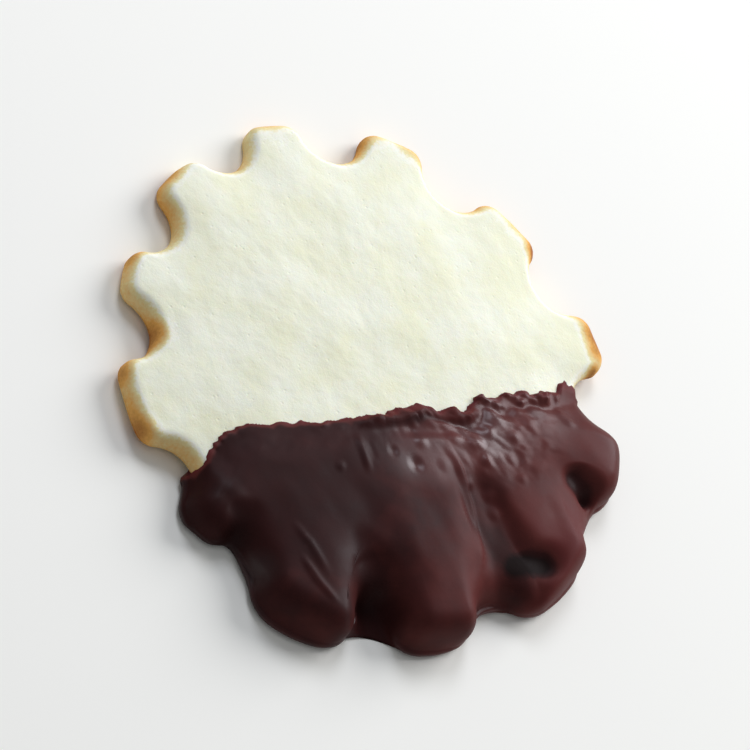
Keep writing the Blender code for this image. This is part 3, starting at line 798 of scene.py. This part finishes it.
def bakedShortbread():
    # baked short dough: dull, fine crumb, cream in the middle and golden where the oven caught it
    look = {
        "grain": 0.45,       # mm
        "grainDetail": 4.0,
        "grainRoughness": 0.65,
        "grainBump": (0.5, 0.10),    # strength, and depth in mm
        "pore": 1.5,
        "poreWidth": (0.02, 0.16),   # of the spacing
        "poreSpread": (0.9, -0.42),  # pores stay where the patches are dark
        "poreBump": (0.3, 0.14),
        "patch": 6.0,
        "patchDetail": 3.0,
        "dough": [(0.35, "#EFEFD1"), (0.62, "#F3F4DF")],     # cream, pale
        # not browned, straw, golden, brown
        "oven": [(0.12, "#FFFFFF"), (0.30, "#EBDFA8"), (0.62, "#E3AA5A"), (1.0, "#9A5C2A")],
        "ovenShows": (0.05, 0.30),
        "mottling": 0.35,
    }
    material, tree, shader = newMaterial("bakedShortbread", {
        "Roughness": 0.85, "IOR": 1.45, "Specular IOR Level": 0.25, "Subsurface Weight": 0.2,
        "Subsurface Radius": (1.0, 0.75, 0.45), "Subsurface Scale": 0.9 * mm,
    })
    place = addNode(tree, "ShaderNodeTexCoord").outputs["Object"]
    patch = addNode(tree, "ShaderNodeTexNoise",
                    values={"Scale": patternScale(look["patch"]), "Detail": look["patchDetail"]},
                    links={"Vector": place})
    grain = addNode(tree, "ShaderNodeTexNoise",
                    values={"Scale": patternScale(look["grain"]), "Detail": look["grainDetail"],
                            "Roughness": look["grainRoughness"]},
                    links={"Vector": place})

    browned = addNode(tree, "ShaderNodeAttribute", {"attribute_name": "browning"})
    mottled = addNode(tree, "ShaderNodeMath", {"operation": "MULTIPLY_ADD"},
                      {1: look["mottling"], 2: -look["mottling"] / 2.0}, {0: grain.outputs["Fac"]})
    heat = addNode(tree, "ShaderNodeMath", {"operation": "ADD"},
                   links={0: browned.outputs["Fac"], 1: mottled.outputs["Value"]})
    shows = dict(zip(("From Min", "From Max"), look["ovenShows"]))
    share = addNode(tree, "ShaderNodeMapRange", values=shows, links={"Value": heat.outputs["Value"]})
    colour = addNode(tree, "ShaderNodeMix", {"data_type": "RGBA"},
                     links={0: share.outputs["Result"], 6: ramp(tree, patch.outputs["Fac"], look["dough"]),
                            7: ramp(tree, heat.outputs["Value"], look["oven"])})
    tree.links.new(colour.outputs[2], shader.inputs["Base Color"])

    pore = addNode(tree, "ShaderNodeTexVoronoi", values={"Scale": patternScale(look["pore"])},
                   links={"Vector": place})
    width = dict(zip(("From Min", "From Max"), look["poreWidth"]))
    hole = addNode(tree, "ShaderNodeMapRange", values=width, links={"Value": pore.outputs["Distance"]})
    spread = addNode(tree, "ShaderNodeMath", {"operation": "MULTIPLY_ADD"},
                     dict(enumerate(look["poreSpread"], 1)), {0: patch.outputs["Fac"]})
    shallow = addNode(tree, "ShaderNodeMath", {"operation": "MAXIMUM"},
                      links={0: hole.outputs["Result"], 1: spread.outputs["Value"]})
    strength, depth = look["grainBump"]
    grainBump = addNode(tree, "ShaderNodeBump", values={"Strength": strength, "Distance": depth * mm},
                        links={"Height": grain.outputs["Fac"]})
    strength, depth = look["poreBump"]
    poreBump = addNode(tree, "ShaderNodeBump", values={"Strength": strength, "Distance": depth * mm},
                       links={"Height": shallow.outputs["Value"], "Normal": grainBump.outputs["Normal"]})
    tree.links.new(poreBump.outputs["Normal"], shader.inputs["Normal"])
    return material


def setChocolate():
    # dark chocolate, dipped and set in air: satin, redder where the skin is thin; its tone also carries
    # painted light on the right side and the lower fingers, a painted sheen, and painted shade, near black
    # in the pits and darker behind the lip
    look = {
        # film, thin skin and painted light, thick skin, near black painted shade of the pits
        "skin": [(0.05, "#60292A"), (0.36, "#582926"), (0.62, "#341817"), (0.95, "#170B0A")],
        "patch": 5.0,        # mm
        "patchDetail": 3.0,
        "patchTone": 0.36,
        "patchGloss": 0.3,
        "satin": (0.50, 0.36),       # roughness of the dull skin and of the glossy one
        "fat": (0.0, 0.62),          # how much clear fat lies on the dull skin and on the glossy one
        "bloomGrain": 0.8,   # mm
        "bloomDetail": 3.0,
        "bloomBump": (0.25, 0.05),   # strength, and depth in mm
    }
    material, tree, shader = newMaterial("setDarkChocolate", {
        "IOR": 1.5, "Specular IOR Level": 0.055, "Coat Roughness": 0.30,
    })
    place = addNode(tree, "ShaderNodeTexCoord").outputs["Object"]
    patch = addNode(tree, "ShaderNodeTexNoise",
                    values={"Scale": patternScale(look["patch"]), "Detail": look["patchDetail"]},
                    links={"Vector": place})
    patchy = {}
    for name, amount in (("thickness", look["patchTone"]), ("gloss", look["patchGloss"])):
        even = addNode(tree, "ShaderNodeAttribute", {"attribute_name": name})
        uneven = addNode(tree, "ShaderNodeMath", {"operation": "MULTIPLY_ADD"},
                         {1: amount, 2: -amount / 2.0}, {0: patch.outputs["Fac"]})
        both = addNode(tree, "ShaderNodeMath", {"operation": "ADD"},
                       links={0: even.outputs["Fac"], 1: uneven.outputs["Value"]})
        patchy[name] = both.outputs["Value"]
    tree.links.new(ramp(tree, patchy["thickness"], look["skin"]), shader.inputs["Base Color"])
    for socket, (dull, bright) in (("Roughness", look["satin"]), ("Coat Weight", look["fat"])):
        level = addNode(tree, "ShaderNodeMapRange", values={"To Min": dull, "To Max": bright},
                        links={"Value": patchy["gloss"]})
        tree.links.new(level.outputs["Result"], shader.inputs[socket])

    bloom = addNode(tree, "ShaderNodeTexNoise",
                    values={"Scale": patternScale(look["bloomGrain"]), "Detail": look["bloomDetail"]},
                    links={"Vector": place})
    strength, depth = look["bloomBump"]
    bump = addNode(tree, "ShaderNodeBump", values={"Strength": strength, "Distance": depth * mm},
                   links={"Height": bloom.outputs["Fac"]})
    tree.links.new(bump.outputs["Normal"], shader.inputs["Normal"])
    return material


view = {
    "elevation": math.radians(48.0),
    "towards": math.radians(198.75),     # from the biscuit to the camera, seen from above
    "roll": math.radians(49.2),          # the picture is turned this far clockwise
    "lens": 600.0,
    "sensor": 36.0,
    "frameWidth": 96.0,                  # mm across at the biscuit
    "aimHeight": 4.0,                    # mm
    "farthest": 20.0,                    # metres
}


def direction(azimuth, elevation):
    return Vector((math.cos(azimuth) * math.cos(elevation), math.sin(azimuth) * math.cos(elevation),
                   math.sin(elevation)))


def placeCamera():
    back = direction(view["towards"], view["elevation"])
    level = Vector((-math.sin(view["towards"]), math.cos(view["towards"]), 0.0))
    right = level * math.cos(view["roll"]) + back.cross(level) * math.sin(view["roll"])
    data = bpy.data.cameras.new("camera")
    data.lens = view["lens"]
    data.sensor_width = view["sensor"]
    data.clip_end = view["farthest"]
    camera = bpy.data.objects.new("camera", data)
    bpy.context.scene.collection.objects.link(camera)
    distance = view["frameWidth"] * view["lens"] / view["sensor"] * mm
    aim = Vector((0.0, 0.0, view["aimHeight"] * mm))
    turn = Matrix((right, back.cross(right), back)).transposed().to_4x4()
    camera.matrix_world = Matrix.Translation(back * distance + aim) @ turn
    bpy.context.scene.camera = camera


studio = {
    # each light's azimuth and elevation in degrees, size in metres, power in watts and colour
    "lights": {
        "softbox": (8.0, 27.0, 0.7, 10.6, "#FAFAFF"),
        "fill": (64.0, 46.0, 0.4, 3.4, "#EEF2FF"),
    },
    "lightDistance": 1.0,    # metres
    "airColour": "#F2F5FA",
    "airStrength": 0.32,
    "floorColour": "#FDFCF4",
    "floorRoughness": 0.9,
    "floorHalfSize": 3.0,    # metres
}


def placeLights():
    for name, (azimuth, elevation, size, power, colour) in studio["lights"].items():
        data = bpy.data.lights.new(name, "AREA")
        data.shape = "DISK"
        data.size = size
        data.energy = power
        data.color = linear(colour)[:3]
        light = bpy.data.objects.new(name, data)
        bpy.context.scene.collection.objects.link(light)
        towards = direction(math.radians(azimuth), math.radians(elevation))
        light.location = towards * studio["lightDistance"]
        light.rotation_euler = towards.to_track_quat("Z", "Y").to_euler()
    world = bpy.data.worlds.new("studio")
    world.use_nodes = True
    background = world.node_tree.nodes["Background"]
    background.inputs["Color"].default_value = linear(studio["airColour"])
    background.inputs["Strength"].default_value = studio["airStrength"]
    bpy.context.scene.world = world


def paleSweep():
    # matt painted board: it mirrors nothing, so that only soft shade shows on it
    return newMaterial("paleSweep", {
        "Base Color": linear(studio["floorColour"]), "Roughness": studio["floorRoughness"],
        "Specular IOR Level": 0.0,
    })[0]


def addFloor():
    bm = bmesh.new()
    bmesh.ops.create_grid(bm, x_segments=1, y_segments=1, size=studio["floorHalfSize"])
    mesh = bpy.data.meshes.new("floor")
    bm.to_mesh(mesh)
    bm.free()
    mesh.materials.append(paleSweep())
    floor = bpy.data.objects.new("floor", mesh)
    bpy.context.scene.collection.objects.link(floor)


buildBiscuit(bakedShortbread())
buildCoat(setChocolate())
addFloor()
placeCamera()
placeLights()
bpy.context.scene.view_settings.view_transform = "Standard"
print("floor, camera and lights placed")

bpy.context.view_layer.update()
